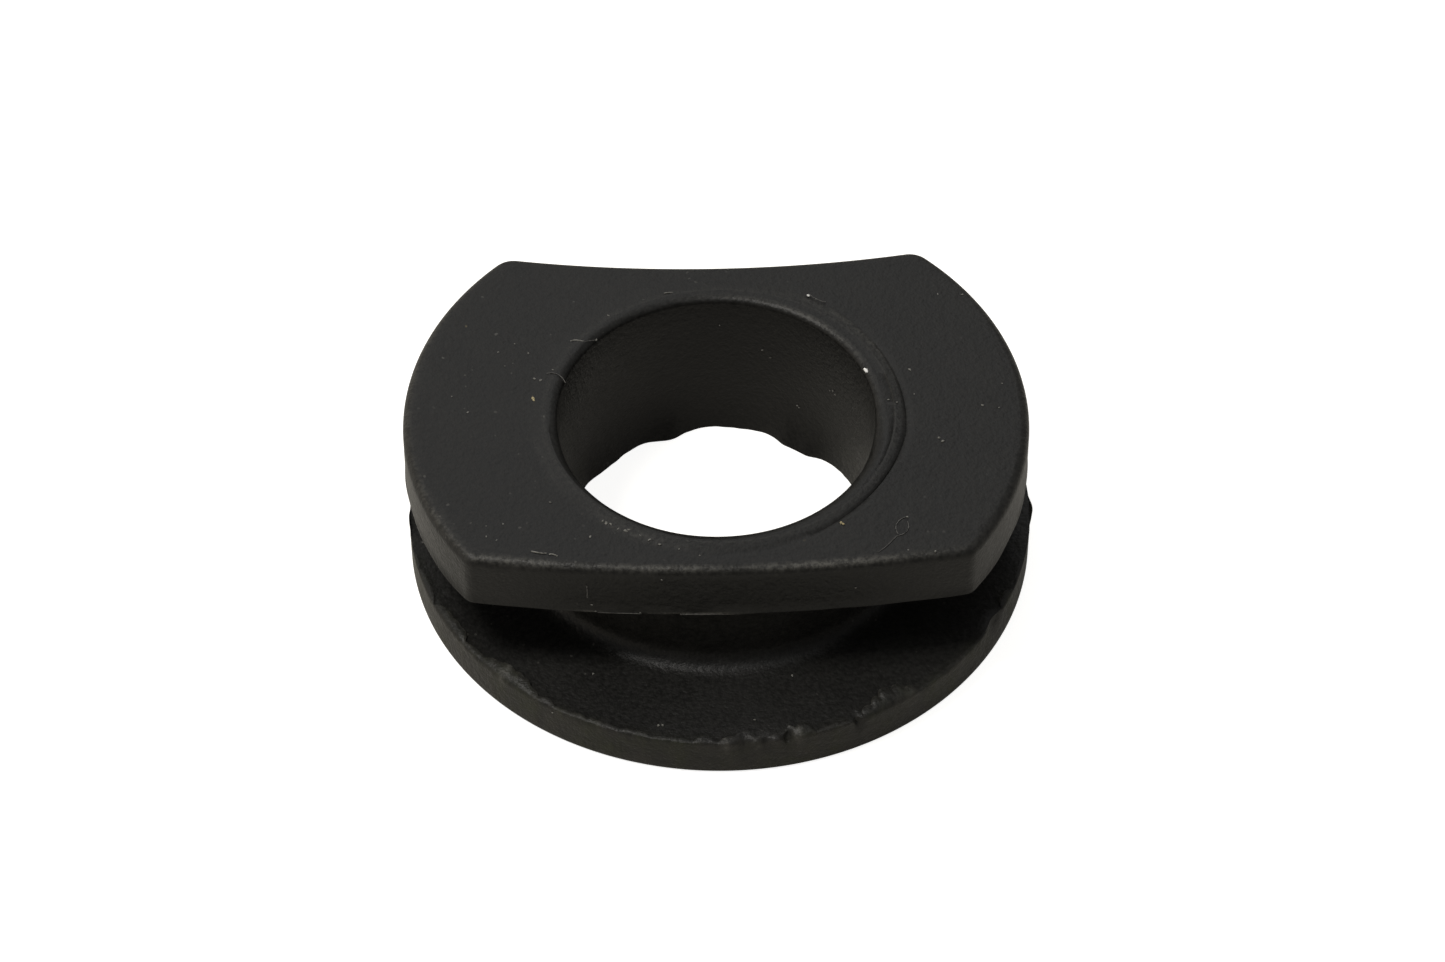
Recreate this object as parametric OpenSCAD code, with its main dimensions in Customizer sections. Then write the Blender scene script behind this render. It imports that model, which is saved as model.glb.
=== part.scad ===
// Moulded rubber damper: a round base flange, a short neck and an upper flange with two cut-down sides,
// all round one through bore. The bore axis is Z and the base rests on Z = 0. The upper flange has its
// bowed side towards -Y and its hollow side towards +Y.

/* [Bore] */

// Diameter of the through bore
bore_d = 12.7; // [9:0.1:15]

// Rounding of the bore's upper lip
lip_r = 0.75; // [0.2:0.05:1.2]

// Width of the low ring that runs round the lip
ring_w = 0.25; // [0.1:0.05:0.8]

// Height of that ring above the flat top
ring_h = 0.06; // [0.02:0.01:0.3]

/* [Neck and groove] */

// Thickness of the neck's wall round the bore
neck_wall = 2; // [1.2:0.05:3]

// Width of the groove between the two flanges
groove_w = 3.1; // [1.5:0.05:8]

// Fillet where the neck meets the base flange
foot_fillet_r = 0.8; // [0.1:0.05:1]

// Fillet where the neck meets the upper flange
head_fillet_r = 0.3; // [0.1:0.05:0.5]

/* [Base flange] */

// Diameter of the base flange
base_d = 25.2; // [21:0.1:36]

// Thickness of the base flange
base_t = 1.7; // [0.8:0.05:4]

// Rounding of the base flange's lower edge
base_edge_r = 0.2; // [0.05:0.05:0.6]

/* [Upper flange] */

// Diameter across the two round sides
flange_d = 25; // [21:0.1:36]

// Thickness from the underside to the flat top
flange_t = 2.45; // [1.2:0.05:5]

// How far the middle of the bowed side stands out past the neck
front_overhang = 0.2; // [0.1:0.05:2]

// Radius of the bowed side, seen from above
front_bow_r = 58; // [20:1:200]

// How far the middle of the hollow side stands out past the neck
back_overhang = 0.1; // [0.05:0.05:2]

// Radius of the hollow side, seen from above
back_hollow_r = 49; // [20:1:200]

// Rounding of the upper edge all the way round
edge_r = 0.4; // [0.1:0.05:0.55]

// Rounding of the two upright corners at the bowed side
front_corner_r = 0.6; // [0.45:0.05:3]

// Rounding of the two upright corners at the hollow side
back_corner_r = 1; // [0.45:0.05:3]

/* [Hidden] */

$fn = 144;
rubber_colour = [0.14, 0.14, 0.135];

// Length by which a cutting tool runs past the faces it opens
cut_past = 1;

bore_r = bore_d / 2;
neck_r = bore_r + neck_wall;
base_r = base_d / 2;
rim_r = flange_d / 2;
ring_r = bore_r + lip_r + ring_w;

under_z = base_t + groove_w;
top_z = under_z + flange_t;
lip_z = top_z + ring_h;

// How far the neck and its upper fillet run up inside the upper flange
neck_root = flange_t / 4;

// Both sides are arcs about points on the Y axis: the bowed one from behind it, the hollow one from outside
front_arc_y = front_bow_r - neck_r - front_overhang;
back_arc_y = back_hollow_r + neck_r + back_overhang;

// How far a rounded corner stands proud of the two sides that it joins, so that it crosses both
corner_proud = 0.015;

front_corner = corner_centre(front_corner_r, front_arc_y, front_bow_r - front_corner_r + corner_proud);
back_corner = corner_centre(back_corner_r, back_arc_y, back_hollow_r + back_corner_r - corner_proud);

function unit(v) = v / norm(v);

// Centre of a corner circle that just passes the rim from inside and keeps its distance from an arc's centre
function corner_centre(r, arc_y, arc_distance) =
    let (axis_distance = rim_r - r + corner_proud)
    let (y = (axis_distance ^ 2 - arc_distance ^ 2 + arc_y ^ 2) / (2 * arc_y))
    [sqrt(axis_distance ^ 2 - y ^ 2), y];

module quarter_disc(r) {
    intersection() {
        circle(r);
        square(r);
    }
}

// Round plate of the upper flange's thickness, with its upper edge rounded
module round_plate(r) {
    rotate_extrude() {
        square([r, flange_t - edge_r]);
        square([r - edge_r, flange_t]);
        translate([r - edge_r, flange_t - edge_r])
            quarter_disc(edge_r);
    }
}

// The same with a round opening, and wide enough to hold the whole flange beside that opening
module hollow_plate(r) {
    rotate_extrude() {
        translate([r, 0])
            square([flange_d, flange_t - edge_r]);
        translate([r + edge_r, 0])
            square([flange_d, flange_t]);
        translate([r + edge_r, flange_t - edge_r])
            mirror([1, 0])
                quarter_disc(edge_r);
    }
}

// Upright wedge from a corner circle's centre out past the two points where it meets the sides
module corner_wedge(centre, r, to_rim, to_side) {
    reach = 2 * r;
    translate([0, 0, -cut_past])
        linear_extrude(flange_t + 2 * cut_past)
            polygon([
                centre,
                centre + reach * to_rim,
                centre + reach * (to_rim + to_side),
                centre + reach * to_side
            ]);
}

module front_wedge() {
    corner_wedge(front_corner, front_corner_r, unit(front_corner), unit(front_corner - [0, front_arc_y]));
}

module back_wedge() {
    corner_wedge(back_corner, back_corner_r, unit(back_corner), unit([0, back_arc_y] - back_corner));
}

module both_sides() {
    children();
    mirror([1, 0, 0])
        children();
}

// The upper flange from its underside up: a disc cut by the two arcs, with every corner and edge rounded
module upper_flange() {
    difference() {
        intersection() {
            round_plate(rim_r);
            translate([0, front_arc_y, 0])
                round_plate(front_bow_r);
            translate([0, back_arc_y, 0])
                hollow_plate(back_hollow_r);
        }
        both_sides() {
            front_wedge();
            back_wedge();
        }
    }
    both_sides() {
        translate(front_corner)
            round_plate(front_corner_r);
        translate(back_corner)
            round_plate(back_corner_r);
    }
}

// Hollow quarter-round that fills the inside corner at the origin, between +X and +Y
module fillet_section(r) {
    difference() {
        square(r);
        translate([r, r])
            circle(r);
    }
}

module base_and_neck() {
    rotate_extrude() {
        square([base_r - base_edge_r, base_t]);
        translate([0, base_edge_r])
            square([base_r, base_t - base_edge_r]);
        translate([base_r - base_edge_r, base_edge_r])
            circle(base_edge_r);
        square([neck_r, under_z + neck_root]);
        translate([neck_r, base_t])
            fillet_section(foot_fillet_r);
    }
}

// Fillet under the upper flange, kept inside the flange's own outline
module head_fillet() {
    intersection() {
        rotate_extrude() {
            square([neck_r, under_z + neck_root]);
            translate([neck_r, under_z])
                mirror([0, 1])
                    fillet_section(head_fillet_r);
            translate([0, under_z])
                square([neck_r + head_fillet_r, neck_root]);
        }
        translate([0, 0, under_z + neck_root])
            mirror([0, 0, 1])
                upper_flange();
    }
}

// The bore and its flared mouth
module bore_tool() {
    rotate_extrude() {
        translate([0, -cut_past])
            square([bore_r, lip_z + 2 * cut_past]);
        translate([bore_r, lip_z - lip_r])
            difference() {
                square([lip_r, lip_r + cut_past]);
                translate([lip_r, 0])
                    circle(lip_r);
            }
    }
}

module damper_body() {
    color(rubber_colour)
        difference() {
            union() {
                base_and_neck();
                head_fillet();
                translate([0, 0, under_z]) {
                    upper_flange();
                    cylinder(h = flange_t + ring_h, r = ring_r);
                }
            }
            bore_tool();
        }
}

damper_body();
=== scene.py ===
import bpy
import bmesh
from math import atan2, cos, degrees, exp, pi, radians, sin, sqrt
from mathutils import Matrix, Vector, noise


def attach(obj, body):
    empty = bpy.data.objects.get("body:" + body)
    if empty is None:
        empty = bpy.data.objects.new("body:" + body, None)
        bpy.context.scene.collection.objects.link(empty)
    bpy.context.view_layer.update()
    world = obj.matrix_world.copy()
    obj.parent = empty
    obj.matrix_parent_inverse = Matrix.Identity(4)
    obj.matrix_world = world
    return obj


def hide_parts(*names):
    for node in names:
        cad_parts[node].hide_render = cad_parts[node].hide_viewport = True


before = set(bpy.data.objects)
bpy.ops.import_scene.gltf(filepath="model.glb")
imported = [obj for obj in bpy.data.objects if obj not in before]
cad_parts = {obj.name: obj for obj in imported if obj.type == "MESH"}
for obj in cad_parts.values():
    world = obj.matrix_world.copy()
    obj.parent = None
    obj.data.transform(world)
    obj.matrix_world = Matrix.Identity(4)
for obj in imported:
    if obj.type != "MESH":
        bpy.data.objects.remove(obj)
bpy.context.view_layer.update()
bpy.ops.object.select_all(action="DESELECT")

# Sizes of the moulding, in metres
MM = 0.001
BORE_R = 6.35 * MM
LIP_R = 0.75 * MM
RING_W = 0.25 * MM
RING_H = 0.06 * MM
NECK_R = 8.35 * MM
FOOT_FILLET_R = 0.8 * MM
HEAD_FILLET_R = 0.3 * MM
BASE_R = 12.6 * MM
BASE_T = 1.7 * MM
BASE_EDGE_R = 0.2 * MM
RIM_R = 12.5 * MM
FLANGE_T = 2.45 * MM
GROOVE_W = 3.1 * MM
FRONT_OVERHANG = 0.2 * MM
FRONT_BOW_R = 58 * MM
BACK_OVERHANG = 0.1 * MM
BACK_HOLLOW_R = 49 * MM
EDGE_R = 0.4 * MM
FRONT_CORNER_R = 0.6 * MM
BACK_CORNER_R = 1.0 * MM

UNDER_Z = BASE_T + GROOVE_W
TOP_Z = UNDER_Z + FLANGE_T
LIP_Z = TOP_Z + RING_H
RING_R = BORE_R + LIP_R + RING_W
FRONT_ARC_Y = FRONT_BOW_R - NECK_R - FRONT_OVERHANG
BACK_ARC_Y = BACK_HOLLOW_R + NECK_R + BACK_OVERHANG

# Number of points round each ring of the skin
ROUND = 920


def corner_centre(r, arc_y, arc_distance):
    """Centre of the corner circle that touches the rim from inside and an arc about a point on Y."""
    axis_distance = RIM_R - r
    y = (axis_distance ** 2 - arc_distance ** 2 + arc_y ** 2) / (2 * arc_y)
    return Vector((sqrt(axis_distance ** 2 - y ** 2), y))


FRONT_CORNER = corner_centre(FRONT_CORNER_R, FRONT_ARC_Y, FRONT_BOW_R - FRONT_CORNER_R)
BACK_CORNER = corner_centre(BACK_CORNER_R, BACK_ARC_Y, BACK_HOLLOW_R + BACK_CORNER_R)


def angle_of(point):
    """Angle of a point about the bore axis."""
    return atan2(point.y, point.x)


def tangent_angles():
    """Angles, on the +X side, at which the outline passes from one arc to the next, from front to back."""
    front_side = FRONT_CORNER + (FRONT_CORNER - Vector((0, FRONT_ARC_Y))).normalized() * FRONT_CORNER_R
    front_rim = FRONT_CORNER.normalized() * RIM_R
    back_rim = BACK_CORNER.normalized() * RIM_R
    back_side = BACK_CORNER + (Vector((0, BACK_ARC_Y)) - BACK_CORNER).normalized() * BACK_CORNER_R
    return [angle_of(point) for point in (front_side, front_rim, back_rim, back_side)]


FRONT_SIDE_AT, FRONT_RIM_AT, BACK_RIM_AT, BACK_SIDE_AT = tangent_angles()


def ray_to_circle(direction, centre, r, far):
    """Distance along a ray from the bore axis to a circle, at its far or near side."""
    along = direction.dot(centre)
    half = sqrt(max(along ** 2 - centre.length_squared + r ** 2, 0.0))
    return along + half if far else along - half


def outline(angle):
    """Point of the upper flange's outline at an angle about the bore, and its outward normal."""
    direction = Vector((cos(angle), sin(angle)))
    mirrored = Vector((abs(direction.x), direction.y))
    at = angle_of(mirrored)
    if at < FRONT_SIDE_AT:
        centre, r, outward = Vector((0, FRONT_ARC_Y)), FRONT_BOW_R, 1
        distance = ray_to_circle(mirrored, centre, r, True)
    elif at < FRONT_RIM_AT:
        centre, r, outward = FRONT_CORNER, FRONT_CORNER_R, 1
        distance = ray_to_circle(mirrored, centre, r, True)
    elif at < BACK_RIM_AT:
        centre, r, outward = Vector((0, 0)), RIM_R, 1
        distance = RIM_R
    elif at < BACK_SIDE_AT:
        centre, r, outward = BACK_CORNER, BACK_CORNER_R, 1
        distance = ray_to_circle(mirrored, centre, r, True)
    else:
        centre, r, outward = Vector((0, BACK_ARC_Y)), BACK_HOLLOW_R, -1
        distance = ray_to_circle(mirrored, centre, r, False)
    point = mirrored * distance
    normal = (point - centre).normalized() * outward
    if direction.x < 0:
        point.x = -point.x
        normal.x = -normal.x
    return point, normal


def crowded_angles():
    """Angles round the part, closer together at the front and at the four corners of the upper flange."""
    half = [(FRONT_SIDE_AT + FRONT_RIM_AT) / 2, (BACK_RIM_AT + BACK_SIDE_AT) / 2]
    corners = half + [pi - at for at in half]
    reach = radians(3.5)

    def turn_to(a, b):
        return atan2(sin(a - b), cos(a - b))

    def pace(angle):
        corner_pace = 1 - 0.7 * max(exp(-(turn_to(angle, corner) / reach) ** 2) for corner in corners)
        return corner_pace * (1.25 + 0.35 * sin(angle))

    fine = 20 * ROUND
    travelled = [0.0]
    for step in range(fine):
        travelled.append(travelled[-1] + 1 / pace(2 * pi * step / fine))
    angles = []
    step = 0
    for count in range(ROUND):
        wanted = travelled[-1] * count / ROUND
        while travelled[step + 1] <= wanted:
            step += 1
        angles.append(2 * pi * step / fine)
    return angles


ANGLES = crowded_angles()
OUTLINE = [outline(angle) for angle in ANGLES]


def ripple(angle, count, seed):
    """Smooth noise round the part, from -1 to 1, with about count waves in a turn."""
    spread = count / (2 * pi)
    return noise.noise(Vector((cos(angle) * spread, sin(angle) * spread, seed)))


def bump(angle, at, half_width):
    """Hump of height 1 about an angle in degrees."""
    turn = degrees(atan2(sin(angle - radians(at)), cos(angle - radians(at))))
    return exp(-(turn / half_width) ** 2)


def hump(angle, first, last):
    """Blunt hump of height 1 between two angles in degrees."""
    across = 2 * ((degrees(angle) - first) % 360) / (last - first) - 1
    return sqrt(1 - abs(across) ** 2.5) if abs(across) < 1 else 0.0


# Torn flash on the base flange's upper edge: first and last angle in degrees, reach over the flat in mm
RIM_FLAPS = [
    (190, 194, 0.12),
    (194, 203, 0.25),
    (203.5, 214.5, 0.50),
    (214, 221, 0.30),
    (219.5, 234, 0.64),
    (233, 237.5, 0.30),
    (237, 244.5, 0.32),
    (243, 251, 0.24),
    (250, 256.5, 0.27),
    (256, 264.5, 0.22),
    (264, 268.5, 0.42),
    (268, 277, 0.36),
    (276, 279.8, 0.24),
    (281.2, 283, 0.44),
    (282.5, 286, 0.62),
    (286, 293.5, 0.20),
    (295.2, 298.4, 0.52),
    (297.6, 300.6, 0.74),
    (299.6, 303.2, 0.98),
    (302.2, 305.4, 0.86),
    (304.6, 307.2, 0.50),
    (306, 326, 0.14),
    (333, 337.5, 0.34),
    (340, 346, 0.14),
    (20, 60, 0.28),
    (70, 86, 0.40),
    (92, 99, 0.34),
    (116, 134, 0.32),
    (138, 143, 0.28),
    (147, 160, 0.42),
]

# Places where that flash is most ragged: angle and half width in degrees
RIM_TEARS = [(212, 7), (227, 8), (241, 7), (275, 11), (298, 3.5), (150, 8), (80, 8)]

# Bites out of the same edge: angle and half width in degrees, depth in mm
RIM_BITES = [
    (273.2, 1.5, 0.16),
    (276.8, 1.2, 0.14),
    (281.0, 1.0, 0.30),
    (294.3, 0.8, 0.28),
    (329.5, 2.8, 0.20),
    (105.0, 2.0, 0.10),
]

# Flash that stands up at the two sides: angle and half width in degrees, lean outwards and lift in mm
SIDE_FLAPS = [
    (182.5, 3.0, 0.08, 0.28),
    (357.8, 3.2, 0.15, 0.18),
]

# Pale scuffs down the wall below that edge: angle and half width in degrees, and strength
RIM_SCUFFS = [
    (225.3, 0.9, 1.0),
    (203.2, 0.5, 0.4),
    (214.4, 0.6, 0.5),
    (269.8, 0.7, 0.8),
    (275.4, 0.8, 0.4),
    (283.0, 0.7, 0.9),
    (305.5, 1.2, 0.3),
    (319.0, 0.8, 0.3),
]

# Flash that hangs into the bore at its lower end: angle, half width and depth, in degrees and mm
BORE_FLAPS = [
    (108, 9.0, 0.50),
    (124, 7.0, 0.12),
    (138, 14.0, 0.36),
    (165, 12.0, 0.25),
    (50, 7.0, 0.36),
    (60, 7.0, 0.36),
    (80, 14.0, 0.10),
    (180, 12.0, 0.25),
    (235, 10.0, 0.30),
    (300, 12.0, 0.20),
]


# How far the flash leans inwards and stands up, as shares of its reach
FLASH_LEAN = 0.8
FLASH_RISE = 0.3


def rim_reach(angle):
    """How far the flash reaches over the flat top of the base flange, in mm."""
    flaps = max(reach * hump(angle, first, last) for first, last, reach in RIM_FLAPS)
    torn = max(bump(angle, at, half) for at, half in RIM_TEARS)
    ragged = (0.012 + 0.16 * torn) * ripple(angle, 150, 8.4) + (0.02 + 0.12 * torn) * ripple(angle, 60, 3.1)
    ragged += 0.08 * torn * ripple(angle, 260, 5.7)
    return max(0.05 + flaps + ragged, 0.02)


def rim_fold(angle):
    """How far the flash leans inwards from the base flange's edge."""
    outwards = sum(lean * bump(angle, at, half) for at, half, lean, lift in SIDE_FLAPS)
    return (FLASH_LEAN * rim_reach(angle) - outwards) * MM


def rim_lift(angle):
    """How high the flash stands above the base flange."""
    sides = sum(lift * bump(angle, at, half) for at, half, lean, lift in SIDE_FLAPS)
    return (FLASH_RISE * rim_reach(angle) + sides) * MM


def rim_bite(angle):
    """How deep the base flange's upper edge is bitten."""
    return sum(depth * bump(angle, at, half) for at, half, depth in RIM_BITES) * MM


def rim_scuff(angle):
    """How pale the wall below that edge is scuffed."""
    return sum(strength * bump(angle, at, half) for at, half, strength in RIM_SCUFFS)


def bore_hang(angle):
    """How far the flash at the bore's lower end hangs inwards."""
    flaps = sum(depth * bump(angle, at, half) for at, half, depth in BORE_FLAPS)
    ragged = 0.05 * ripple(angle, 30, 2.3) + 0.03 * ripple(angle, 90, 6.6)
    return max(0.10 + flaps + ragged, 0.02) * MM


# The mould's lower half sat a little to one side of the upper one, and so did the ring round the lip
BASE_SHIFT = Vector((0.14 * MM, -0.04 * MM))
RING_SHIFT = Vector((0.15 * MM, -0.06 * MM))
UNSHIFTED = Vector((0, 0))


# The rings of the skin. Each is a function of a point's number round the part
def round_ring(r, z, shift=UNSHIFTED):
    """Round ring about the bore axis."""
    def place(i):
        return Vector((r * cos(ANGLES[i]) + shift.x, r * sin(ANGLES[i]) + shift.y, z))
    return place


def outline_ring(inset, z, wave=0.0, seed=0.0):
    """Ring that runs inside the upper flange's outline, straight or a little wavy."""
    def place(i):
        point, normal = OUTLINE[i]
        at = point - normal * (inset + wave * ripple(ANGLES[i], 40, seed))
        return Vector((at.x, at.y, z))
    return place


def between(first, second, share):
    """Ring that lies part of the way from one ring to another."""
    def place(i):
        return first(i).lerp(second(i), share)
    return place


def arc_steps(count):
    """Angles that divide a quarter turn."""
    return [pi / 2 * step / count for step in range(count + 1)]


def marked(places, trim=0.0, edge=0.0):
    """Rings with their marks: trimmed by a blade, which low in the bore also carries a painted floor
    reflection, and rubbed pale as an edge is, which on the upper flange's edge adds painted highlight and
    on the lip is painted highlight.
    """
    return [(place, trim, edge) for place in places]


def base_rings():
    """From the bore's lower edge out along the underside, up the rim and over its torn flash."""
    rings = marked([round_ring(BORE_R + 0.25 * MM, 0), round_ring(9 * MM, 0)])
    rings += marked([round_ring(11 * MM, 0, BASE_SHIFT)])
    for turn in arc_steps(5):
        r = BASE_R - BASE_EDGE_R + BASE_EDGE_R * sin(turn)
        rings += marked([round_ring(r, BASE_EDGE_R - BASE_EDGE_R * cos(turn), BASE_SHIFT)], 0.8)
    for share in (0.2, 0.4, 0.55, 0.7, 0.82, 0.91):
        rings += marked([rim_wall(share)], 1.0, scuff_mark(max(share - 0.6, 0) * 2.5, 0.0))
    for out, up, trim, edge in FLASH_SECTION:
        rings += marked([flash_ring(out, up)], flash_finish(trim), scuff_mark(0.7, edge))
    return rings


def flash_finish(plain):
    """Trimmed finish of a ring of the flash, which goes on over its crest at the front on the -X side."""
    def mark(i):
        blade = max(bump(ANGLES[i], 212, 14), bump(ANGLES[i], 236, 14))
        return plain + (1 - plain) * 0.8 * blade
    return mark


def scuff_mark(strength, plain):
    """Pale mark of a ring of the rim, with its scuffs."""
    def mark(i):
        broken = 0.45 + 1.6 * max(ripple(ANGLES[i], 90, 1.7), 0.0)
        return plain * broken + strength * rim_scuff(ANGLES[i])
    return mark


def rim_wall(share):
    """Wall of the base flange, uneven where it was trimmed, more so towards its upper edge."""
    def place(i):
        angle = ANGLES[i]
        trim = 0.03 * ripple(angle, 50, 4.4) + 0.012 * ripple(angle, 140, 2.2 + 2 * share)
        radius = BASE_R + share * trim * MM - 0.8 * share ** 4 * rim_bite(angle)
        z = BASE_EDGE_R + (BASE_T - share ** 4 * rim_bite(angle) - BASE_EDGE_R) * share
        return Vector((radius * cos(angle) + BASE_SHIFT.x, radius * sin(angle) + BASE_SHIFT.y, z))
    return place


# Section of the flash from the rim's edge over its crest and back under its tip:
# share of the fold, share of the lift, how far the trimmed finish goes on, and how pale it is rubbed
FLASH_SECTION = [
    (0.0, 0.0, 1.0, 0.0),
    (0.08, 0.3, 0.9, 0.0),
    (0.2, 0.58, 0.65, 0.05),
    (0.4, 0.82, 0.4, 0.03),
    (0.65, 0.98, 0.25, 0.03),
    (0.9, 1.0, 0.25, 0.1),
    (1.0, 0.9, 0.5, 0.7),
    (1.02, 0.72, 0.5, 0.5),
    (0.85, 0.4, 0.1, 0.0),
    (0.72, 0.15, 0.0, 0.0),
]


def flash_ring(out, up):
    """Ring of the torn flash, at shares of its fold and its lift."""
    def place(i):
        angle = ANGLES[i]
        torn = 0.012 * ripple(angle, 190, 11.0 + 2 * out)
        radius = BASE_R - 0.8 * rim_bite(angle) - out * rim_fold(angle) - out * torn * MM
        z = BASE_T - (1 - out) * rim_bite(angle) + up * rim_lift(angle) * (1 + 4 * torn)
        return Vector((radius * cos(angle) + BASE_SHIFT.x, radius * sin(angle) + BASE_SHIFT.y, z))
    return place


def flat_ring():
    """Where the flash comes down to the flat top of the base flange."""
    def place(i):
        angle = ANGLES[i]
        radius = BASE_R - 0.8 * rim_bite(angle) - max(0.74 * rim_fold(angle), 0.06 * MM) - 0.03 * MM
        return Vector((radius * cos(angle) + BASE_SHIFT.x, radius * sin(angle) + BASE_SHIFT.y, BASE_T))
    return place


def neck_rings():
    """Across the base flange to the neck, up its fillet and wall and out under the upper flange."""
    edge = flat_ring()
    foot = round_ring(NECK_R + FOOT_FILLET_R, BASE_T)
    rings = marked([edge], 0.3)
    rings += marked([between(edge, foot, share) for share in (0.12, 0.35, 0.6, 0.8, 0.93)])
    for turn in arc_steps(8):
        r = NECK_R + FOOT_FILLET_R - FOOT_FILLET_R * sin(turn)
        rings += marked([round_ring(r, BASE_T + FOOT_FILLET_R - FOOT_FILLET_R * cos(turn))])
    wall = UNDER_Z - HEAD_FILLET_R
    foot_top = BASE_T + FOOT_FILLET_R
    for share in (0.35, 0.7, 1.0):
        rings += marked([round_ring(NECK_R, foot_top + (wall - foot_top) * share)])
    for turn in arc_steps(3)[1:]:
        z = wall + HEAD_FILLET_R * sin(turn)
        inset = HEAD_FILLET_R * (1 - cos(turn))
        rings += marked([within_outline(NECK_R + inset, z)])
    return rings


def within_outline(r, z):
    """Ring about the bore that never passes the upper flange's outline."""
    def place(i):
        point = OUTLINE[i][0]
        radius = min(r, point.length - 0.02 * MM)
        return Vector((radius * cos(ANGLES[i]), radius * sin(ANGLES[i]), z))
    return place


def flash_line(i):
    """Pale thread of flash along part of the upper flange's lower edge."""
    angle = ANGLES[i]
    front = bump(angle, 263, 9) + 0.6 * bump(angle, 238, 3)
    return front + 0.5 * bump(angle, 120, 10) + 0.4 * bump(angle, 20, 6)


def flange_rings():
    """Out under the upper flange, up its wall, over its rounded edge and in across the top."""
    inner = within_outline(NECK_R + HEAD_FILLET_R, UNDER_Z)
    lower = outline_ring(0.05 * MM, UNDER_Z, 0.03 * MM, 7.7)
    rings = marked([between(inner, lower, share) for share in (0.3, 0.6, 0.85)])
    rings += marked([lower])
    rings += marked([outline_ring(-0.02 * MM, UNDER_Z + 0.01 * MM, 0.05 * MM, 9.1)], 0.0, flash_line)
    rings += marked([outline_ring(-0.02 * MM, UNDER_Z + 0.06 * MM, 0.03 * MM, 9.1)], 0.0, flash_line)
    wall = FLANGE_T - EDGE_R
    rings += marked([outline_ring(0, UNDER_Z + wall * share) for share in (0.06, 0.3, 0.6, 0.9)])
    # The edge mark along the rounded edge peaks 62 degrees into it: wear with a painted highlight
    for turn in arc_steps(10):
        rounded = outline_ring(EDGE_R * (1 - cos(turn)), TOP_Z - EDGE_R + EDGE_R * sin(turn))
        rings += marked([rounded], 0.0, edge_wear_and_highlight(exp(-((degrees(turn) - 62) / 22) ** 2)))
    outer = outline_ring(EDGE_R, TOP_Z)
    ring = ring_round(RING_R + 0.08 * MM, TOP_Z, 0.0, 0.5 * MM)
    rings += marked([between(outer, ring, share) for share in (0.06, 0.2, 0.4, 0.6, 0.8, 0.94)])
    return rings


def edge_wear_and_highlight(strength):
    """Wear and painted highlight on the upper flange's rounded edge: strongest along the front, faint on
    the +X side.
    """
    def mark(i):
        angle = ANGLES[i]
        front = max(bump(angle, 225, 10), 0.8 * bump(angle, 255, 20), 1.2 * bump(angle, 296, 18))
        left = max(0.3 * bump(angle, 170, 26), 0.55 * bump(angle, 207, 16))
        return strength * (0.06 + max(front, left))
    return mark


# Where the creases inside and outside the low ring are deepest: angle and half width in degrees
INNER_CREASE = (8, 38)
OUTER_CREASE = (338, 46)


def crispness(angle):
    """How crisp the low ring is: crisp on the +X side and faded on the other."""
    return max(bump(angle, 325, 45), bump(angle, 15, 42))


def ring_round(r, z, dip=0.0, spread=0.0, crease=INNER_CREASE):
    """Ring round the lip, a little off the bore axis, with creases that are deepest at +X."""
    def place(i):
        angle = ANGLES[i]
        crisp = crispness(angle)
        depth = dip * (0.1 + 0.9 * bump(angle, *crease) + 0.2 * ripple(angle, 9, 3.3))
        radius = r + spread * (1 - crisp)
        return Vector((radius * cos(angle) + RING_SHIFT.x, radius * sin(angle) + RING_SHIFT.y, z - depth))
    return place


def ring_dust(i):
    """Dust caught along the low ring, at the front and at the back on the +X side."""
    angle = ANGLES[i]
    return 0.3 * bump(angle, 243, 16) + 0.1 * bump(angle, 200, 14) + 0.4 * bump(angle, 38, 24)


def bore_rings():
    """Over the low ring, its inner crease and the lip, down the bore and along the flash at its end."""
    rings = marked([ring_round(RING_R + 0.06 * MM, TOP_Z, 0.0, 0.4 * MM)])
    rings += marked([ring_round(RING_R + 0.02 * MM, TOP_Z, 0.06 * MM, 0.3 * MM, OUTER_CREASE)])
    rings += marked([ring_round(RING_R - 0.04 * MM, TOP_Z + 0.4 * RING_H, 0.0, 0.12 * MM)], 0.0, ring_dust)
    rings += marked([ring_round(RING_R - 0.10 * MM, LIP_Z - 0.02 * MM)], 0.0, ring_dust)
    rings += marked([ring_round(RING_R - 0.30 * MM, LIP_Z - 0.01 * MM)], 0.0, 0.1)
    rings += marked([ring_round(RING_R - 0.36 * MM, LIP_Z)], 0.0, 0.15)
    rings += marked([ring_round(RING_R - 0.42 * MM, LIP_Z - 0.005 * MM, 0.05 * MM)])
    rings += marked([lip_start])
    # The lip's edge mark peaks 28 degrees into its rounding, on the back +X side: a painted highlight
    for turn in arc_steps(10)[2:]:
        rings += marked([lip_ring(turn)], 0.0, painted_lip_highlight(exp(-((degrees(turn) - 28) / 18) ** 2)))
    wall = LIP_Z - LIP_R
    # The trim mark low on the bore wall and on its flash carries bloom and a painted reflection of the
    # floor, paler at the sides and lower down
    for share in (0.1, 0.3, 0.5, 0.62):
        rings += marked([round_ring(BORE_R, wall * (1 - share))], bore_bloom_and_reflection(share))
    section = ((0.04, 1.7), (0.25, 1.1), (0.6, 0.5), (1.0, 0.08), (1.02, 0.03), (0.95, 0.0), (0.3, 0.0))
    rings += marked([bore_flash_ring(inwards, z * MM) for inwards, z in section[:4]], bore_bloom_and_reflection(0.9))
    rings += marked([bore_flash_ring(inwards, z * MM) for inwards, z in section[4:]])
    return rings


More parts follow.
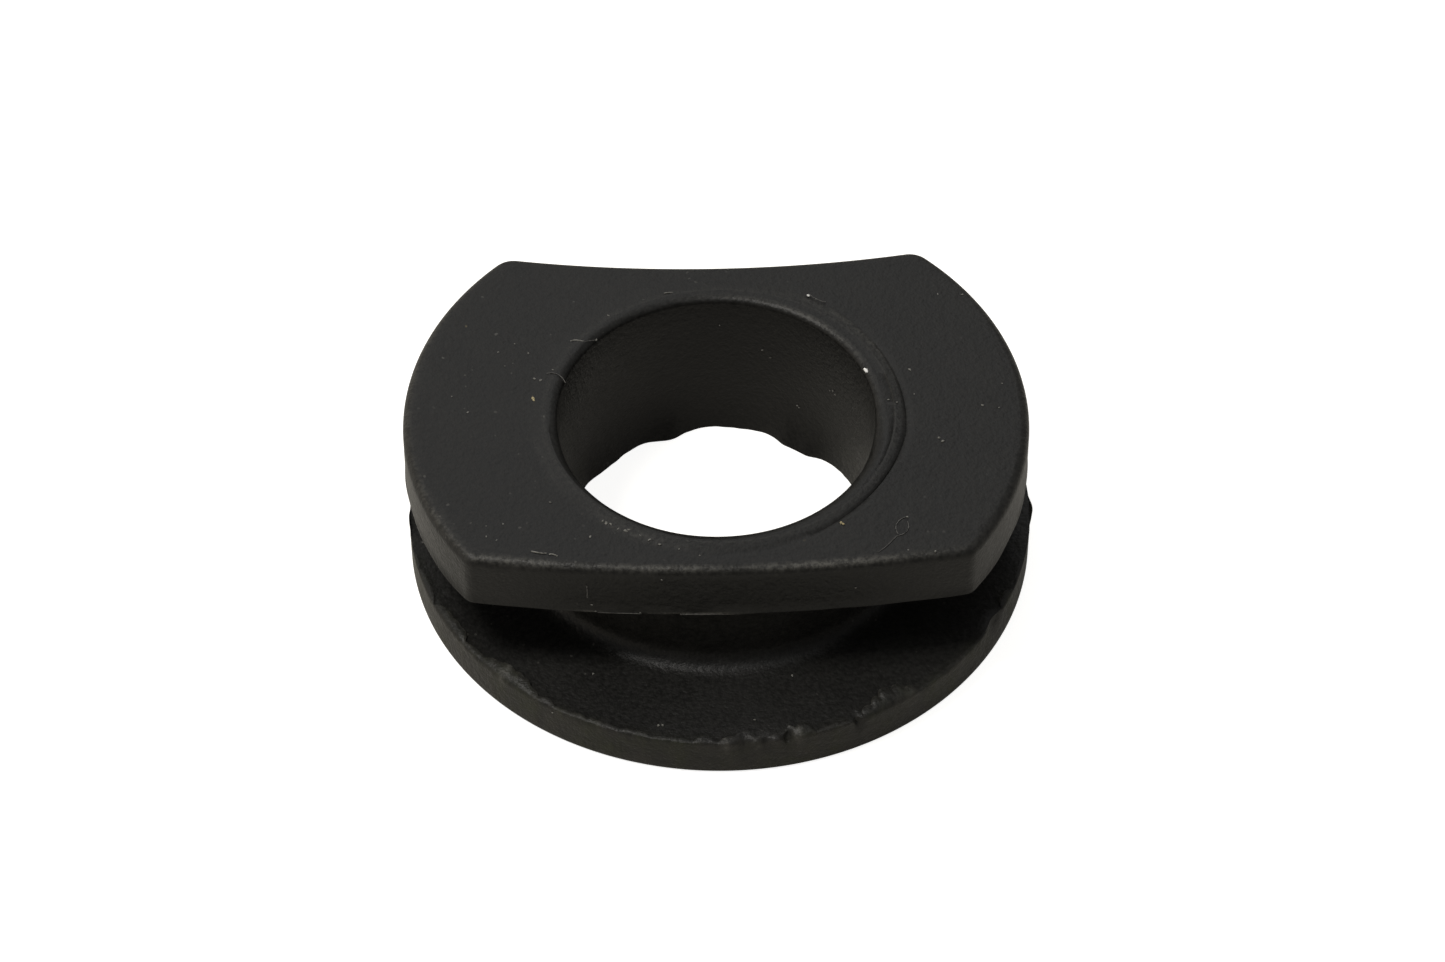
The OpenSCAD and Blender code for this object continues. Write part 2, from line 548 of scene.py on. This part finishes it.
def bore_bloom_and_reflection(share):
    """Brown and green bloom low on the bore's wall, at its two sides, paler there as a painted reflection
    of the floor.
    """
    def mark(i):
        return 0.9 * share * max(bump(ANGLES[i], 176, 26), 0.35 * bump(ANGLES[i], 10, 26))
    return mark


def lip_size(angle):
    """Radius of the bore's lip: full at the front, where it is worn round, and tight at the back."""
    near = min(max((0.1 - sin(angle)) / 0.6, 0.0), 1.0)
    worn = near * near * (3 - 2 * near)
    return (0.27 + worn * (0.46 + 0.075 * cos(angle))) * MM


def painted_lip_highlight(strength):
    """Painted highlight on the lip, at the back on the +X side."""
    def mark(i):
        return 0.65 * strength * bump(ANGLES[i], 52, 34)
    return mark


def lip_start(i):
    """Flat just outside the lip."""
    angle = ANGLES[i]
    crease = RING_R - 0.48 * MM + RING_SHIFT.x * cos(angle) + RING_SHIFT.y * sin(angle)
    radius = min(BORE_R + 1.3 * lip_size(angle) + 0.05 * MM, crease)
    return Vector((radius * cos(angle), radius * sin(angle), LIP_Z))


def lip_ring(turn):
    """Rounded lip of the bore."""
    def place(i):
        angle = ANGLES[i]
        size = lip_size(angle)
        across = min(1.3 * size, LIP_R)
        r = BORE_R + across * (1 - sin(turn))
        return Vector((r * cos(angle), r * sin(angle), LIP_Z - size + size * cos(turn)))
    return place


def bore_flash_ring(inwards, z):
    """Ring of the flash at the bore's lower end, at a share of its hang."""
    def place(i):
        angle = ANGLES[i]
        radius = BORE_R - inwards * bore_hang(angle)
        return Vector((radius * cos(angle), radius * sin(angle), z))
    return place


def next_ring(skin, place, trim, edge):
    """Extrude the last ring to the next station and set its trim and edge marks, which carry its finish and
    some painted light.
    """
    bpy.ops.mesh.extrude_region_move()
    bm = bmesh.from_edit_mesh(skin.data)
    number = bm.verts.layers.int["number"]
    trim_mark = bm.verts.layers.float["trim"]
    edge_mark = bm.verts.layers.float["edge"]
    for vert in bm.verts:
        if vert.select:
            vert.co = place(vert[number])
            vert[trim_mark] = trim(vert[number]) if callable(trim) else trim
            vert[edge_mark] = edge(vert[number]) if callable(edge) else edge
    bmesh.update_edit_mesh(skin.data)


def model_skin():
    """Draw one ring and extrude it from station to station until it closes on itself."""
    rings = base_rings() + neck_rings() + flange_rings() + bore_rings()
    rings.append(rings[0])
    bpy.ops.mesh.primitive_circle_add(vertices=ROUND, radius=BORE_R, fill_type="NOTHING")
    skin = bpy.context.object
    skin.name = "damper_skin"
    skin.data.name = "damper_skin"
    bpy.ops.object.mode_set(mode="EDIT")
    bm = bmesh.from_edit_mesh(skin.data)
    bm.verts.layers.int.new("number")
    bm.verts.layers.float.new("trim")
    bm.verts.layers.float.new("edge")
    number = bm.verts.layers.int["number"]
    bm.verts.ensure_lookup_table()
    for i, vert in enumerate(bm.verts):
        vert[number] = i
        vert.co = rings[0][0](i)
    bmesh.update_edit_mesh(skin.data)
    for place, trim, edge in rings[1:]:
        next_ring(skin, place, trim, edge)
    bpy.ops.mesh.select_all(action="SELECT")
    bpy.ops.mesh.remove_doubles(threshold=1e-7)
    bpy.ops.mesh.normals_make_consistent(inside=False)
    bpy.ops.object.mode_set(mode="OBJECT")
    bpy.ops.object.shade_smooth_by_angle(angle=radians(50))
    return skin


# Materials
def node(tree, kind, **settings):
    """New node with its settings."""
    made = tree.nodes.new(kind)
    for key, value in settings.items():
        setattr(made, key, value)
    return made


def sum_of(tree, operation, first, second, third=None):
    """Math node on two or three sockets or numbers."""
    made = node(tree, "ShaderNodeMath", operation=operation)
    for socket, value in zip(made.inputs, (first, second, third)):
        if isinstance(value, (int, float)):
            socket.default_value = value
        elif value is not None:
            tree.links.new(value, socket)
    return made.outputs[0]


def ramp_of(tree, value, low, high, to_low=0.0, to_high=1.0):
    """Smooth step of a value from one level to another."""
    made = node(tree, "ShaderNodeMapRange", interpolation_type="SMOOTHSTEP")
    tree.links.new(value, made.inputs["Value"])
    for name, level in (("From Min", low), ("From Max", high), ("To Min", to_low), ("To Max", to_high)):
        made.inputs[name].default_value = level
    return made.outputs["Result"]


def noise_of(tree, vector, scale, detail, roughness=0.5):
    """Noise pattern at a place."""
    made = node(tree, "ShaderNodeTexNoise")
    tree.links.new(vector, made.inputs["Vector"])
    made.inputs["Scale"].default_value = scale
    made.inputs["Detail"].default_value = detail
    made.inputs["Roughness"].default_value = roughness
    return made.outputs["Fac"]


def blend_of(tree, share, first, second):
    """Mix of two colours, each a socket or a plain colour."""
    made = node(tree, "ShaderNodeMix", data_type="RGBA")
    tree.links.new(share, made.inputs["Factor"])
    for socket, value in ((made.inputs["A"], first), (made.inputs["B"], second)):
        if isinstance(value, tuple):
            socket.default_value = (*value, 1)
        else:
            tree.links.new(value, socket)
    return made.outputs["Result"]


def new_group(name, inputs, outputs):
    """Empty shader node group with named float sockets, and a vector input."""
    group = bpy.data.node_groups.new(name, "ShaderNodeTree")
    group.interface.new_socket("Vector", in_out="INPUT", socket_type="NodeSocketVector")
    for label, default in inputs:
        socket = group.interface.new_socket(label, in_out="INPUT", socket_type="NodeSocketFloat")
        socket.default_value = default
    for label in outputs:
        group.interface.new_socket(label, in_out="OUTPUT", socket_type="NodeSocketFloat")
    return group, group.nodes.new("NodeGroupInput"), group.nodes.new("NodeGroupOutput")


def grain_group():
    """Fine moulded grain of the rubber: a height for bump, a slow mottle and a sandy one for tone."""
    group, given, result = new_group("moulded_grain", [], ["Height", "Mottle", "Sand"])
    vector = given.outputs["Vector"]
    fine = noise_of(group, vector, 9000, 2)
    peel = noise_of(group, vector, 2600, 3)
    slow = noise_of(group, vector, 330, 4, 0.6)
    sand = noise_of(group, vector, 5200, 2, 0.6)
    height = sum_of(group, "MULTIPLY_ADD", peel, 0.7, sum_of(group, "MULTIPLY", fine, 0.5))
    height = sum_of(group, "MULTIPLY_ADD", sand, 0.55, height)
    group.links.new(height, result.inputs["Height"])
    group.links.new(ramp_of(group, slow, 0.3, 0.75), result.inputs["Mottle"])
    group.links.new(ramp_of(group, sand, 0.3, 0.7), result.inputs["Sand"])
    return group


def dust_group():
    """Specks of settled dust, few and of mixed size and shape, as a mask."""
    sockets = [("Scale", 1500.0), ("Share", 0.1), ("Size", 0.12)]
    group, given, result = new_group("settled_dust", sockets, ["Specks"])
    warp = node(group, "ShaderNodeTexNoise")
    warp.inputs["Scale"].default_value = 7000
    bent = node(group, "ShaderNodeVectorMath", operation="MULTIPLY_ADD")
    bent.inputs[1].default_value = (0.00012, 0.00012, 0.00012)
    cells = node(group, "ShaderNodeTexVoronoi", feature="F1")
    group.links.new(given.outputs["Vector"], warp.inputs["Vector"])
    group.links.new(warp.outputs["Color"], bent.inputs[0])
    group.links.new(given.outputs["Vector"], bent.inputs[2])
    group.links.new(bent.outputs[0], cells.inputs["Vector"])
    group.links.new(given.outputs["Scale"], cells.inputs["Scale"])
    parts = node(group, "ShaderNodeSeparateColor")
    group.links.new(cells.outputs["Color"], parts.inputs["Color"])
    chosen = sum_of(group, "LESS_THAN", parts.outputs["Red"], given.outputs["Share"])
    size = sum_of(group, "MULTIPLY", parts.outputs["Green"], given.outputs["Size"])
    edge = sum_of(group, "SUBTRACT", size, cells.outputs["Distance"])
    strength = sum_of(group, "MULTIPLY_ADD", parts.outputs["Blue"], 0.7, 0.3)
    soft = sum_of(group, "MULTIPLY", ramp_of(group, edge, 0.0, 0.07), strength)
    group.links.new(sum_of(group, "MULTIPLY", chosen, soft), result.inputs["Specks"])
    return group


def placed(tree, group, vector, **values):
    """Outputs of a node group placed in a material with its own values."""
    made = node(tree, "ShaderNodeGroup", node_tree=group)
    tree.links.new(vector, made.inputs["Vector"])
    for label, value in values.items():
        made.inputs[label].default_value = value
    return made.outputs


RUBBER = (0.0060, 0.0059, 0.0054)
BLOOM = (0.0130, 0.0127, 0.0116)
# Pale trimmed colours, also used for the painted floor reflection low on the bore's sides
TRIMMED_AND_REFLECTED = (0.0292, 0.0272, 0.0240)
TRIMMED_GREEN_AND_REFLECTED = (0.0252, 0.0266, 0.0162)
# Pale rubbed colour, also used for the painted highlights on the upper flange's edge and on the lip
RUBBED_AND_HIGHLIT = (0.075, 0.072, 0.064)
DUST = (0.085, 0.082, 0.074)
YELLOW_DUST = (0.14, 0.115, 0.065)


def mark_of(tree, name):
    """Mark that the skin's rings carry."""
    return node(tree, "ShaderNodeAttribute", attribute_name=name).outputs["Fac"]


def settled_share(tree, where):
    """How much dust has settled: most on what faces up, in patches, and on the -X side."""
    facing = node(tree, "ShaderNodeSeparateXYZ")
    tree.links.new(node(tree, "ShaderNodeNewGeometry").outputs["Normal"], facing.inputs[0])
    upwards = ramp_of(tree, facing.outputs["Z"], 0.0, 0.9, 0.25, 1.0)
    patches = ramp_of(tree, noise_of(tree, where, 190, 3), 0.35, 0.65, 0.25, 1.0)
    axes = node(tree, "ShaderNodeSeparateXYZ")
    tree.links.new(where, axes.inputs[0])
    side = ramp_of(tree, axes.outputs["X"], -10 * MM, 4 * MM, 1.0, 0.4)
    return sum_of(tree, "MULTIPLY", sum_of(tree, "MULTIPLY", upwards, patches), side)


def trim_and_reflection_share(tree, where):
    """How far the surface shows the blade, and low in the bore the painted floor reflection: the trim mark,
    broken by blotches and upright streaks.
    """
    upright = node(tree, "ShaderNodeVectorMath", operation="MULTIPLY")
    upright.inputs[1].default_value = (1, 1, 0.15)
    tree.links.new(where, upright.inputs[0])
    streaks = ramp_of(tree, noise_of(tree, upright.outputs[0], 1500, 4, 0.6), 0.3, 0.7, 0.3, 1.0)
    blotch = ramp_of(tree, noise_of(tree, where, 1300, 4, 0.7), 0.3, 0.7, 0.3, 1.1)
    return sum_of(tree, "MULTIPLY", mark_of(tree, "trim"), sum_of(tree, "MULTIPLY", blotch, streaks))


def rubbed_and_highlight_share(tree, where):
    """How pale the surface is made by rubbing and by painted highlights: the edge mark, broken into flecks.
    """
    flecks = ramp_of(tree, noise_of(tree, where, 5200, 3, 0.7), 0.38, 0.66, 0.25, 1.0)
    return sum_of(tree, "MULTIPLY", mark_of(tree, "edge"), flecks)


def rubber_colour(tree, where, tone, trim_and_reflection):
    """Black rubber with its bloom, then the trimmed and rubbed finishes with the painted floor reflection
    and painted highlights they carry, then the dust.
    """
    dust = dust_group()
    fine_dust = placed(tree, dust, where, Scale=3200.0, Share=0.22, Size=0.26)["Specks"]
    coarse_dust = placed(tree, dust, where, Scale=900.0, Share=0.03, Size=0.12)["Specks"]
    settled = settled_share(tree, where)
    green = ramp_of(tree, noise_of(tree, where, 700, 3), 0.35, 0.65)
    colour = blend_of(tree, tone, RUBBER, BLOOM)
    colour = blend_of(tree, trim_and_reflection, colour, blend_of(tree, green, TRIMMED_AND_REFLECTED, TRIMMED_GREEN_AND_REFLECTED))
    colour = blend_of(tree, rubbed_and_highlight_share(tree, where), colour, RUBBED_AND_HIGHLIT)
    colour = blend_of(tree, sum_of(tree, "MULTIPLY", fine_dust, settled), colour, DUST)
    return blend_of(tree, sum_of(tree, "MULTIPLY", coarse_dust, settled), colour, YELLOW_DUST)


def rubber_material():
    """Black moulded rubber: grained skin, paler where trimmed or rubbed and where a floor reflection and
    highlights are painted, with dust settled on it.
    """
    material = bpy.data.materials.new("damper_rubber")
    material.use_nodes = True
    tree = material.node_tree
    links = tree.links
    shader = tree.nodes["Principled BSDF"]
    shader.inputs["Specular IOR Level"].default_value = 0.2
    where = node(tree, "ShaderNodeTexCoord").outputs["Object"]
    grain = placed(tree, grain_group(), where)
    mottle = sum_of(tree, "MULTIPLY", grain["Mottle"], 0.45)
    tone = sum_of(tree, "MULTIPLY_ADD", grain["Sand"], 0.75, mottle)
    trim_and_reflection = trim_and_reflection_share(tree, where)
    links.new(rubber_colour(tree, where, tone, trim_and_reflection), shader.inputs["Base Color"])
    roughness = ramp_of(tree, tone, 0, 1, 0.38, 0.46)
    links.new(sum_of(tree, "MULTIPLY_ADD", trim_and_reflection, 0.12, roughness), shader.inputs["Roughness"])
    relief = node(tree, "ShaderNodeBump")
    relief.inputs["Strength"].default_value = 0.7
    relief.inputs["Distance"].default_value = 0.04 * MM
    ragged = sum_of(tree, "MULTIPLY", noise_of(tree, where, 1100, 4, 0.6), trim_and_reflection)
    links.new(sum_of(tree, "MULTIPLY_ADD", ragged, 1.6, grain["Height"]), relief.inputs["Height"])
    links.new(relief.outputs["Normal"], shader.inputs["Normal"])
    return material


# Fibres settled on the part: half thickness, and five points along each, in mm
FIBRES = [
    (0.030, ((-5.80, 4.12, 7.29), (-5.65, 4.18, 7.31), (-5.50, 4.17, 7.31),
             (-5.38, 4.12, 7.30), (-5.25, 4.10, 7.29))),
    (0.028, ((-7.35, -7.32, 7.26), (-7.20, -7.38, 7.28), (-7.05, -7.44, 7.28),
             (-6.90, -7.46, 7.27), (-6.75, -7.44, 7.26))),
    (0.030, ((-6.66, -7.52, 7.26), (-6.58, -7.46, 7.27), (-6.48, -7.50, 7.27),
             (-6.40, -7.56, 7.26), (-6.32, -7.60, 7.25))),
    (0.022, ((-1.98, 6.76, 7.30), (-1.88, 6.80, 7.32), (-1.80, 6.78, 7.32),
             (-1.70, 6.82, 7.31), (-1.60, 6.80, 7.30))),
]

# Fainter hairs, in the same way
HAIRS = [
    (0.012, ((-5.25, 4.10, 7.29), (-5.15, 4.07, 7.31), (-5.05, 4.08, 7.32),
             (-4.95, 4.12, 7.32), (-4.80, 4.14, 7.31))),
    (0.016, ((-6.75, 2.30, 7.30), (-6.45, 2.36, 7.33), (-6.25, 2.25, 7.35),
             (-6.10, 2.00, 7.34), (-6.00, 1.75, 7.30))),
    (0.016, ((7.35, -5.85, 7.26), (7.00, -5.92, 7.28), (6.85, -6.25, 7.29),
             (6.82, -6.50, 7.28), (6.95, -6.75, 7.26))),
    (0.014, ((7.35, -6.10, 7.26), (7.42, -6.40, 7.27), (7.38, -6.65, 7.28),
             (7.15, -6.80, 7.27), (6.90, -6.85, 7.26))),
    (0.018, ((6.90, -6.85, 7.26), (6.75, -7.00, 7.27), (6.60, -7.25, 7.28),
             (6.40, -7.50, 7.27), (6.10, -7.70, 7.26))),
    (0.020, ((3.95, 6.55, 7.31), (4.15, 6.30, 7.33), (4.35, 6.15, 7.33),
             (4.50, 6.12, 7.32), (4.60, 6.10, 7.31))),
    (0.024, ((-5.22, -8.33, 6.35), (-5.20, -8.34, 6.15), (-5.18, -8.34, 6.00),
             (-5.21, -8.34, 5.80), (-5.20, -8.33, 5.62))),
    (0.030, ((-1.60, -8.54, 4.80), (-1.00, -8.56, 4.80), (-0.40, -8.57, 4.80),
             (0.20, -8.57, 4.80), (0.75, -8.56, 4.79))),
    (0.018, ((-4.80, -8.37, 4.80), (-4.40, -8.41, 4.80), (-3.90, -8.44, 4.81),
             (-3.50, -8.46, 4.80), (-3.10, -8.48, 4.80))),
    (0.022, ((4.06, 4.86, 0.95), (4.05, 4.84, 0.75), (4.10, 4.80, 0.60),
             (4.00, 4.86, 0.50), (3.92, 4.95, 0.62))),
    (0.020, ((4.10, 4.80, 0.60), (4.14, 4.76, 0.50), (4.18, 4.72, 0.42),
             (4.20, 4.70, 0.36), (4.22, 4.66, 0.30))),
]

# Pale crumbs: place and half length, in mm
CRUMBS = [
    (-4.75, 4.15, 7.31, 0.055),
    (-4.25, 5.55, 7.30, 0.045),
    (-8.70, 3.60, 7.26, 0.045),
    (-8.05, 4.05, 7.26, 0.050),
    (-7.50, 3.50, 7.26, 0.045),
    (-8.45, 2.80, 7.26, 0.040),
    (-7.25, 2.05, 7.27, 0.055),
    (-7.00, 1.95, 7.28, 0.060),
    (-6.50, 2.50, 7.31, 0.045),
    (-10.55, 1.15, 7.26, 0.040),
    (-9.90, 0.25, 7.26, 0.045),
    (-8.45, -5.85, 7.26, 0.045),
    (-9.10, -5.95, 7.26, 0.035),
    (-9.10, -6.50, 7.26, 0.045),
    (-8.70, -6.70, 7.26, 0.040),
    (-6.60, -4.75, 7.26, 0.050),
    (-5.05, -6.60, 7.26, 0.060),
    (9.20, 6.50, 7.26, 0.045),
    (10.20, 6.45, 7.26, 0.055),
    (7.85, 2.20, 7.26, 0.070),
    (7.95, 0.85, 7.26, 0.040),
    (10.65, 0.15, 7.26, 0.055),
    (11.30, 0.00, 7.26, 0.045),
    (11.50, 1.35, 7.26, 0.040),
    (8.82, -1.60, 7.26, 0.080),
    (8.95, -1.80, 7.26, 0.090),
    (6.90, 0.50, 7.31, 0.050),
    (7.25, 0.35, 7.31, 0.045),
    (8.35, -7.70, 7.26, 0.065),
    (7.30, -7.60, 7.26, 0.040),
    (7.35, -5.85, 7.27, 0.050),
    (-2.52, -11.58, 1.72, 0.060),
    (-2.36, -11.60, 1.72, 0.065),
    (-6.65, -10.66, 1.50, 0.060),
    (2.80, -9.15, 1.73, 0.055),
    (-5.05, -8.85, 1.72, 0.050),
    (1.25, -11.40, 1.72, 0.055),
    (-4.55, -5.80, 7.28, 0.060),
    (-4.42, -5.92, 7.28, 0.080),
    (-4.25, -5.98, 7.28, 0.060),
    (-3.95, -6.22, 7.27, 0.050),
    (-3.65, -6.35, 7.28, 0.085),
    (-3.56, -6.30, 7.29, 0.060),
    (-3.10, -6.60, 7.28, 0.040),
    (-2.75, -6.85, 7.28, 0.065),
    (-2.35, -7.10, 7.28, 0.060),
    (-1.60, -7.35, 7.27, 0.040),
    (-0.80, -7.70, 7.26, 0.035),
    (5.25, -8.32, 5.92, 0.050),
    (-5.05, -8.34, 5.22, 0.045),
    (-4.90, -8.35, 4.86, 0.050),
    (-3.15, -8.47, 4.87, 0.045),
    (-2.30, -8.51, 6.80, 0.045),
    (-9.62, -7.70, 4.83, 0.055),
    (2.02, 6.00, 4.70, 0.045),
    (2.37, 5.87, 4.36, 0.040),
    (3.47, 5.29, 2.11, 0.050),
    (3.55, 5.24, 2.04, 0.040),
    (4.87, 4.04, 4.22, 0.045),
    (4.96, 3.93, 4.12, 0.035),
    (4.76, 4.17, 4.10, 0.035),
    (1.42, 6.16, 0.66, 0.045),
    (0.28, 6.32, 5.86, 0.035),
]
YELLOW_CRUMBS = [
    (-7.30, 0.95, 7.28, 0.085),
    (-7.27, 0.85, 7.27, 0.060),
    (4.75, -6.12, 7.28, 0.085),
    (4.83, -6.18, 7.28, 0.070),
]
FLAKES = [
    (6.08, 2.20, 7.27, 0.120),
    (3.90, 6.50, 7.31, 0.070),
]


def lint_material(name, dark, light):
    """Lint or dust, mottled between two tones."""
    material = bpy.data.materials.new(name)
    material.use_nodes = True
    tree = material.node_tree
    shader = tree.nodes["Principled BSDF"]
    shader.inputs["Roughness"].default_value = 0.9
    where = node(tree, "ShaderNodeTexCoord").outputs["Object"]
    mottle = ramp_of(tree, noise_of(tree, where, 9000, 2), 0.35, 0.65)
    tree.links.new(blend_of(tree, mottle, dark, light), shader.inputs["Base Color"])
    return material


def model_fibre(thickness, points, material):
    """Thin round fibre along five points."""
    bpy.ops.curve.primitive_nurbs_path_add()
    fibre = bpy.context.object
    for control, place in zip(fibre.data.splines[0].points, points):
        control.co = (*(Vector(place) * MM), 1)
    fibre.data.bevel_depth = thickness * MM
    fibre.data.bevel_resolution = 1
    fibre.data.resolution_u = 5
    bpy.ops.object.convert(target="MESH")
    bpy.context.object.data.materials.append(material)
    return bpy.context.object


def model_crumb(x, y, z, size, material):
    """Small flat crumb with an uneven outline."""
    place = Vector((x, y, z)) * MM
    bpy.ops.mesh.primitive_ico_sphere_add(subdivisions=2, radius=size * MM, location=place)
    crumb = bpy.context.object
    turn = Matrix.Rotation(7 * x + 3 * y, 3, "Z")
    for vert in crumb.data.vertices:
        lump = 1 + 0.9 * noise.noise(vert.co * 14000 + Vector((x, y, z)))
        vert.co = turn @ Vector((vert.co.x * lump, vert.co.y * lump * 0.65, vert.co.z * 0.45))
    bpy.ops.object.shade_smooth()
    crumb.data.materials.append(material)
    return crumb


def model_lint():
    """Fibres and crumbs that lie on the part, joined to one piece."""
    pale = lint_material("pale_lint", (0.09, 0.087, 0.078), (0.18, 0.174, 0.158))
    faint = lint_material("faint_hair", (0.05, 0.048, 0.045), (0.10, 0.097, 0.09))
    yellow = lint_material("yellow_crumb", (0.26, 0.21, 0.11), (0.42, 0.37, 0.22))
    white = lint_material("white_flake", (0.62, 0.61, 0.58), (0.80, 0.79, 0.76))
    pieces = [model_fibre(thickness, points, pale) for thickness, points in FIBRES]
    pieces += [model_fibre(thickness, points, faint) for thickness, points in HAIRS]
    pieces += [model_crumb(*crumb, pale) for crumb in CRUMBS]
    pieces += [model_crumb(*crumb, yellow) for crumb in YELLOW_CRUMBS]
    pieces += [model_crumb(*crumb, white) for crumb in FLAKES]
    bpy.ops.object.select_all(action="DESELECT")
    for piece in pieces:
        piece.select_set(True)
    bpy.context.view_layer.objects.active = pieces[0]
    bpy.ops.object.join()
    bpy.ops.object.transform_apply(location=True, rotation=True, scale=True)
    lint = bpy.context.object
    lint.name = "settled_lint"
    lint.data.name = "settled_lint"
    return lint


skin = model_skin()
skin.data.materials.append(rubber_material())
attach(skin, "root")
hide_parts("damper_body")
lint = model_lint()
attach(lint, "root")


# Glow of the floor where it is mirrored in the rubber, and where the camera sees it
FLOOR_MIRRORED = 0.14
FLOOR_SEEN = 0.85


def pale_floor():
    """Plain pale floor that keeps the part's shadow and runs out to white."""
    bpy.ops.mesh.primitive_plane_add(size=2)
    floor = bpy.context.object
    floor.name = "floor"
    material = bpy.data.materials.new("pale_floor")
    material.use_nodes = True
    tree = material.node_tree
    shader = tree.nodes["Principled BSDF"]
    shader.inputs["Base Color"].default_value = (0.58, 0.558, 0.505, 1)
    shader.inputs["Roughness"].default_value = 0.9
    glow = node(tree, "ShaderNodeEmission")
    both = node(tree, "ShaderNodeAddShader")
    rays = node(tree, "ShaderNodeLightPath").outputs
    links = tree.links
    seen = rays["Is Camera Ray"]
    mirrored = sum_of(tree, "MAXIMUM", rays["Is Glossy Ray"], rays["Is Transmission Ray"])
    dim = sum_of(tree, "MULTIPLY", mirrored, FLOOR_MIRRORED)
    level = sum_of(tree, "MAXIMUM", dim, sum_of(tree, "MULTIPLY", seen, FLOOR_SEEN))
    links.new(blend_of(tree, seen, (1, 0.95, 0.86), (1, 1, 1)), glow.inputs["Color"])
    links.new(level, glow.inputs["Strength"])
    links.new(shader.outputs[0], both.inputs[0])
    links.new(glow.outputs[0], both.inputs[1])
    links.new(both.outputs[0], tree.nodes["Material Output"].inputs["Surface"])
    floor.data.materials.append(material)


def area_light(name, place, size, power, colour=(1, 1, 1)):
    """Soft box that faces the part."""
    bpy.ops.object.light_add(type="AREA", location=place)
    lamp = bpy.context.object
    lamp.name = name
    lamp.data.shape = "RECTANGLE"
    lamp.data.size, lamp.data.size_y = size
    lamp.data.energy = power
    lamp.data.color = colour
    target = Vector((0, 0, TOP_Z / 2))
    lamp.rotation_euler = (target - Vector(place)).to_track_quat("-Z", "Y").to_euler()


def studio_light():
    """Three soft boxes and a dim dome, warmer low down and brighter low on the -X side."""
    area_light("main_softbox", (-0.17, -0.02, 0.385), (0.11, 0.11), 0.97, (1, 0.975, 0.93))
    area_light("back_softbox", (-0.06, 0.34, 0.36), (0.34, 0.3), 0.36)
    area_light("front_softbox", (0.0, -0.11, 0.40), (0.18, 0.07), 0.12)
    world = bpy.data.worlds.new("studio")
    bpy.context.scene.world = world
    world.use_nodes = True
    tree = world.node_tree
    back = tree.nodes["Background"]
    rays = node(tree, "ShaderNodeLightPath")
    axes = node(tree, "ShaderNodeSeparateXYZ")
    tree.links.new(node(tree, "ShaderNodeTexCoord").outputs["Generated"], axes.inputs[0])
    dome = ramp_of(tree, axes.outputs["Z"], 0.0, 0.8, 0.2, 0.4)
    dome = sum_of(tree, "MULTIPLY", dome, ramp_of(tree, axes.outputs["Y"], -0.8, 0.1, 0.45, 1.0))
    left = ramp_of(tree, axes.outputs["X"], -1.0, 0.0, 1.0, 0.0)
    low = ramp_of(tree, axes.outputs["Z"], 0.1, 0.5, 1.0, 0.0)
    dome = sum_of(tree, "MULTIPLY_ADD", sum_of(tree, "MULTIPLY", left, low), 1.1, dome)
    warm = blend_of(tree, left, (1, 0.96, 0.88), (1, 0.88, 0.70))
    tint = blend_of(tree, ramp_of(tree, axes.outputs["Z"], 0.0, 0.5), warm, (1, 1, 1))
    tree.links.new(blend_of(tree, rays.outputs["Is Camera Ray"], tint, (1, 1, 1)), back.inputs["Color"])
    level = sum_of(tree, "MAXIMUM", rays.outputs["Is Camera Ray"], dome)
    tree.links.new(level, back.inputs["Strength"])


# Camera, as found from the outline in the photograph of 1445 by 962 points
PHOTO_W = 1445
FOCAL_POINTS = 4948
CAMERA_DISTANCE = 200 * MM
ELEVATION = radians(46.71)
SWING = radians(-1.19)
ROLL = radians(-0.13)
AIM_Z = 3.63 * MM
CENTRE_X = -6.3
CENTRE_Y = -6.1


def photo_camera():
    """Camera that sees the part as the photograph does."""
    data = bpy.data.cameras.new("photo_camera")
    camera = bpy.data.objects.new("photo_camera", data)
    bpy.context.collection.objects.link(camera)
    back = Vector((sin(SWING) * cos(ELEVATION), -cos(SWING) * cos(ELEVATION), sin(ELEVATION)))
    level = Vector((cos(SWING), sin(SWING), 0))
    rise = back.cross(level)
    right = level * cos(ROLL) + rise * sin(ROLL)
    up = rise * cos(ROLL) - level * sin(ROLL)
    eye = Vector((0, 0, AIM_Z)) + back * CAMERA_DISTANCE
    turn = Matrix((right, up, back)).transposed().to_4x4()
    camera.matrix_world = Matrix.Translation(eye) @ turn
    data.sensor_width = 36
    data.lens = FOCAL_POINTS * data.sensor_width / PHOTO_W
    data.shift_x = -CENTRE_X / PHOTO_W
    data.shift_y = CENTRE_Y / PHOTO_W
    data.clip_start = 0.001
    bpy.context.scene.camera = camera


pale_floor()
studio_light()
photo_camera()
bpy.context.scene.view_settings.view_transform = "Standard"
